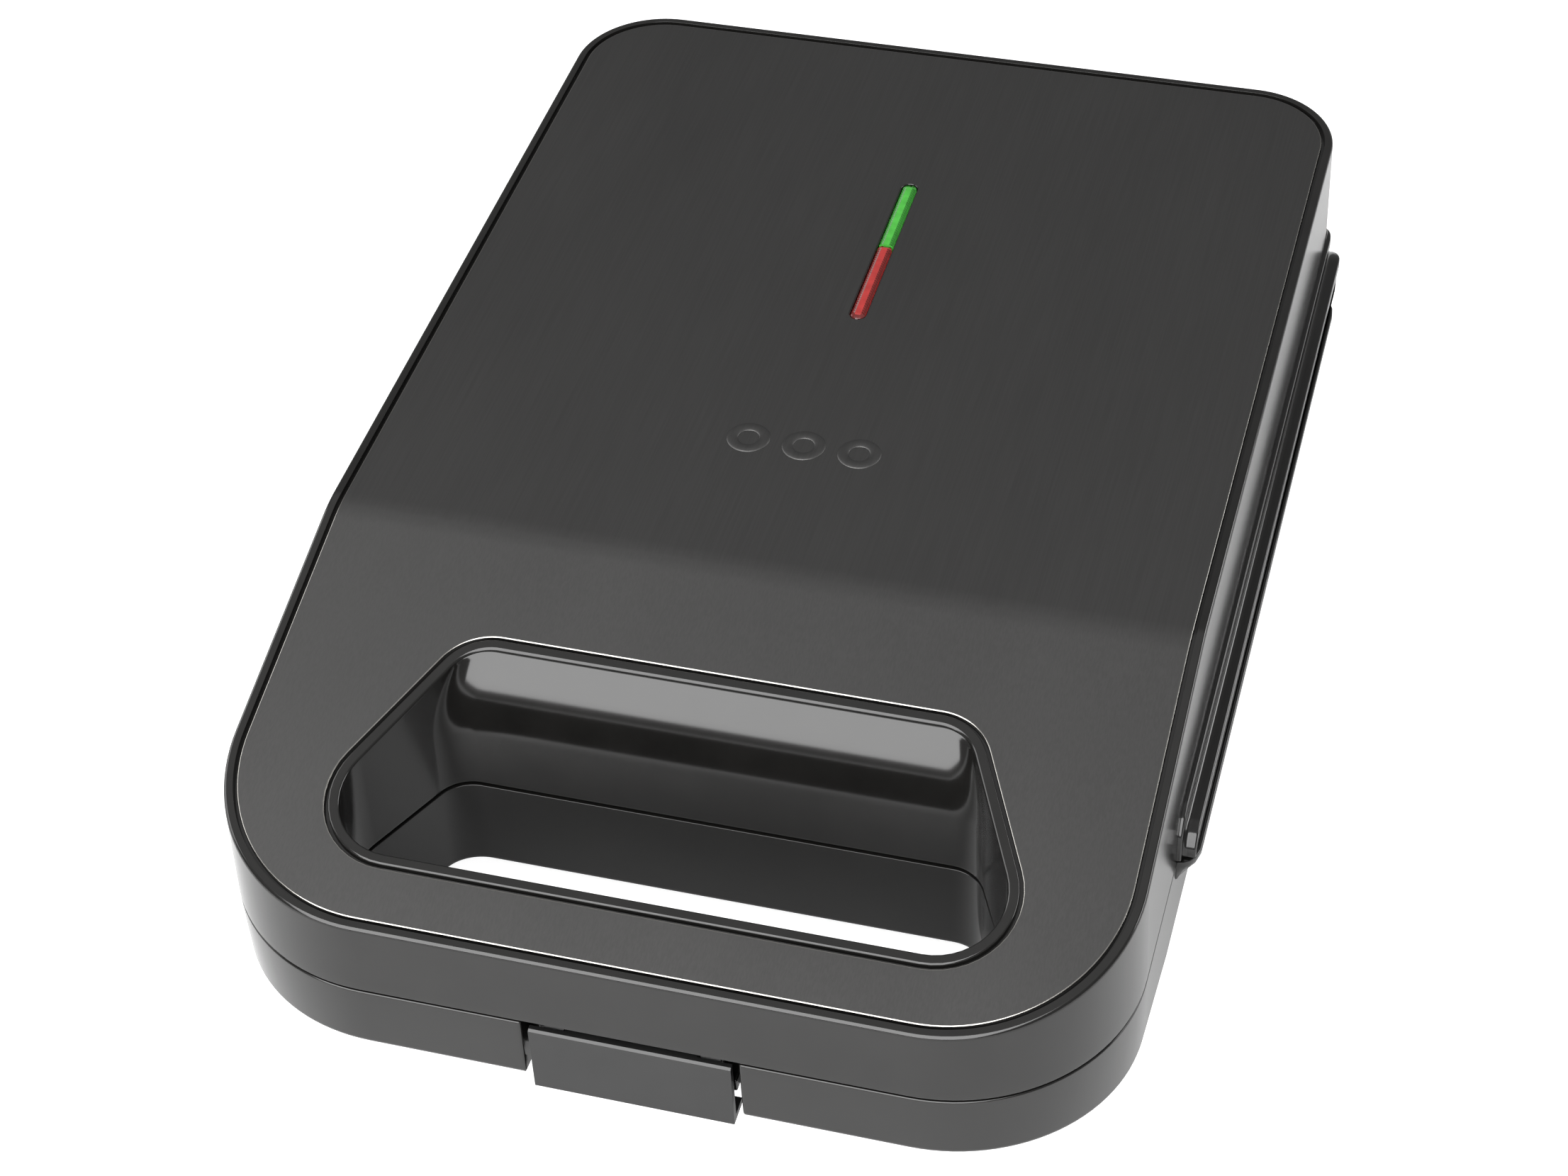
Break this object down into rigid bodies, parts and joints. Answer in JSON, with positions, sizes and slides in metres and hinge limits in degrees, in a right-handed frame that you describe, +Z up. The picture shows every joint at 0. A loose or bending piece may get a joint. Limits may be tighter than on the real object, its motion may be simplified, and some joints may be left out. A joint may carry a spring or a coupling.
{
  "type": "donut maker",
  "caption": "Clamshell electric donut maker with ring-mould plates, brushed cover plate, pass-through handle and front latch",
  "frame": {"origin": "centre of the bounding box, on the surface the rubber feet stand on", "axes": "+X right seen from the handle, +Y from the handle to the hinge, +Z up"},
  "size_m": [0.2404, 0.3626, 0.0883],
  "materials": {
    "casing": "satin-gloss black moulded plastic",
    "latch": "satin black moulded plastic",
    "frame": "heat-resistant black moulding with a fine spark texture",
    "cover_plate": "dark anthracite steel, brushed front to back",
    "cooking_plate": "dark non-stick coating on cast aluminium",
    "heater": "dull heat-stained steel tube",
    "reflector": "bare pressed aluminised sheet",
    "steel": "zinc-plated steel",
    "rubber": "matt black rubber",
    "ceramic_block": "off-white unglazed ceramic",
    "nylon": "natural nylon",
    "wire_sleeve": "woven glass-fibre sleeving",
    "green_lens": "ribbed translucent green lens",
    "red_lens": "ribbed translucent red lens",
    "lamp_glass": "clear glass bulb",
    "thermostat_body": "brown phenolic moulding"
  },
  "bodies": {
    "base": {"base_shell": "casing", "base_inner_frame": "frame", "lower_cooking_plate": "cooking_plate", "lower_heater": "heater", "lower_reflector": "reflector", "lower_plate_screws": "steel", "base_screws": "steel", "rubber_feet": "rubber", "terminal_block": "ceramic_block", "cord_gland": "rubber", "cord_clamp": "nylon", "cord_clamp_screws": "steel", "base_wiring": "wire_sleeve", "hinge_pins": "steel"},
    "lid": {"lid_shell": "casing", "lid_top_plate": "cover_plate", "lid_inner_frame": "frame", "upper_cooking_plate": "cooking_plate", "upper_heater": "heater", "upper_reflector": "reflector", "upper_plate_screws": "steel", "lid_screws": "steel", "green_lens": "green_lens", "red_lens": "red_lens", "lamp_holder": "nylon", "green_lamp": "lamp_glass", "red_lamp": "lamp_glass", "thermostat": "thermostat_body", "thermal_fuse": "reflector", "lid_wiring": "wire_sleeve", "latch_pin": "steel"},
    "latch": {"latch": "latch"}
  },
  "joints": [
    {"name": "lid_hinge", "type": "hinge", "parent": "base", "child": "lid", "pos_m": [0, 0.1763, 0.0399], "axis": [-1, 0, 0], "range_deg": [0, 100]},
    {"name": "latch_pivot", "type": "hinge", "parent": "lid", "child": "latch", "pos_m": [0, -0.1767, 0.0358], "axis": [-1, 0, 0], "range_deg": [0, 32]}
  ]
}
